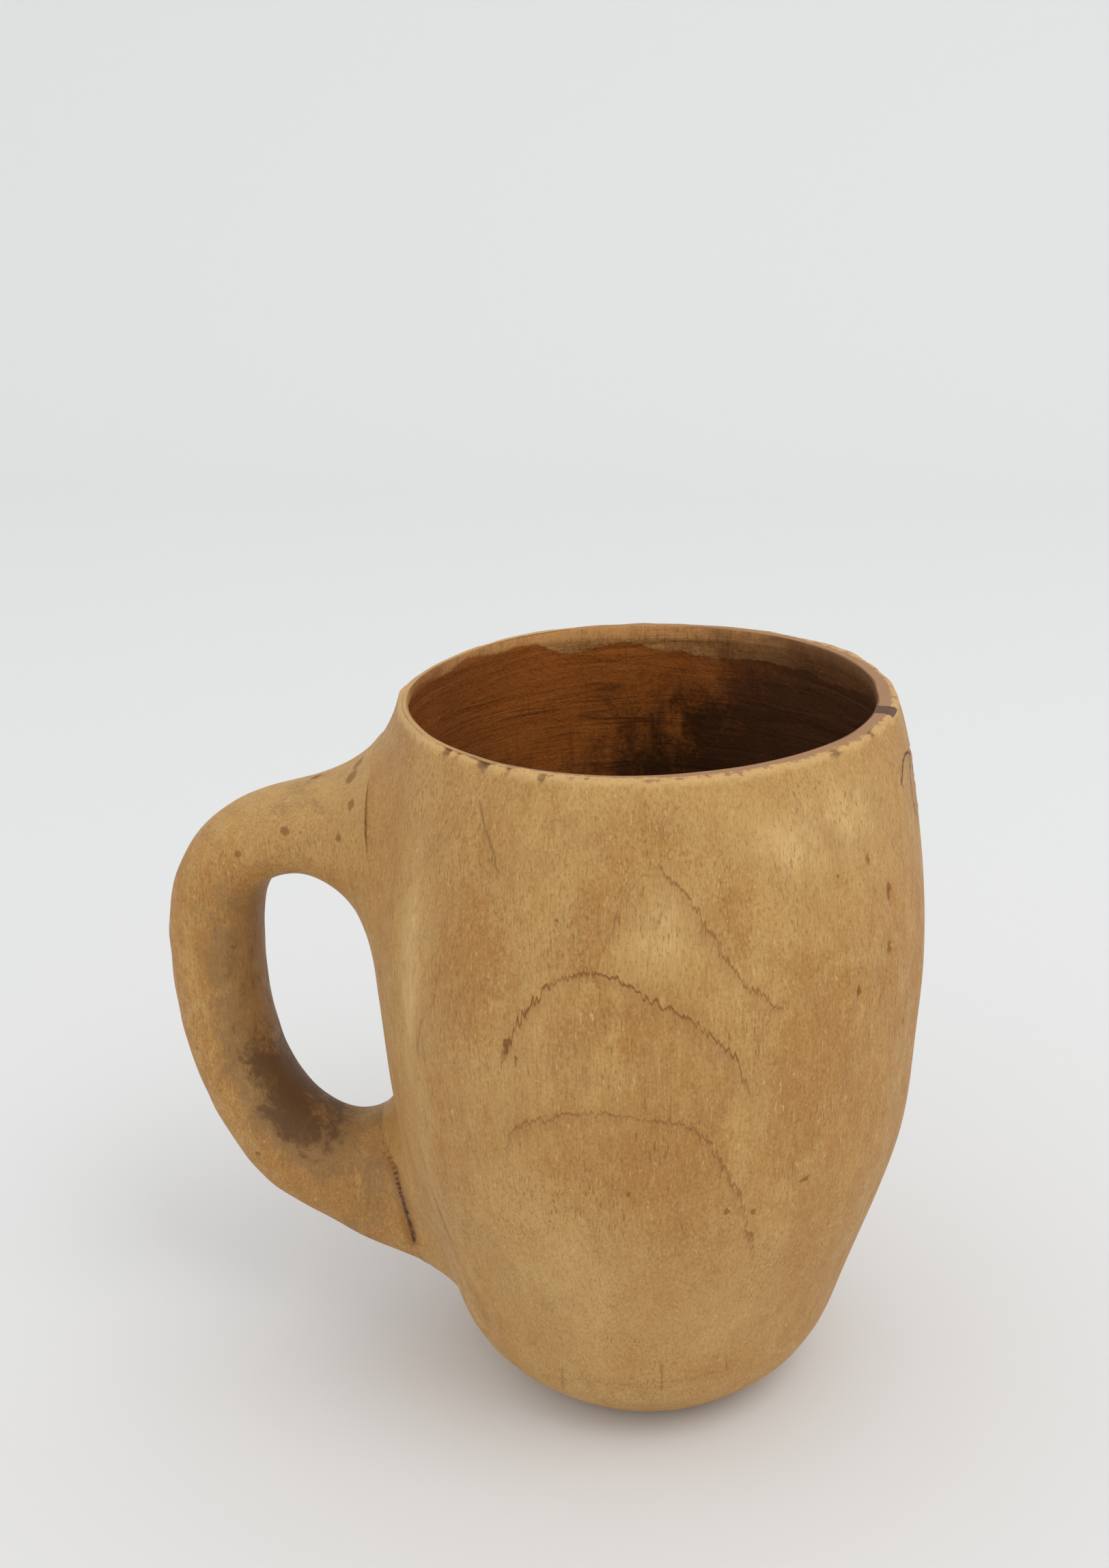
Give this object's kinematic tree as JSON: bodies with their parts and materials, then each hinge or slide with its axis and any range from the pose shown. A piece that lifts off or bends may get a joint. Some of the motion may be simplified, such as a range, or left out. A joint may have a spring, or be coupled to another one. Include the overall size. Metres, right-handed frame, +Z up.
{
  "type": "carved wooden mug",
  "caption": "Barrel-shaped carved wooden drinking mug with a rounded heel, a drawn-in mouth, a D-shaped side handle tenoned into its wall and a dead knot in the wall opposite.",
  "frame": {"origin": "centre of the flat foot", "axes": "+Z up along the body's axis, -X towards the handle, which lies in the XZ plane"},
  "size_m": [0.1349, 0.0952, 0.13],
  "materials": {
    "body_wood": "bare straw-coloured wood worn smooth, satin, stained dark inside",
    "handle_wood": "bare wood worn smooth by the hand, satin, darker on the finger side",
    "knot_wood": "dense darker knot wood, satin"
  },
  "bodies": {
    "root": {"body": "body_wood", "handle": "handle_wood", "wall_knot": "knot_wood"}
  },
  "joints": []
}
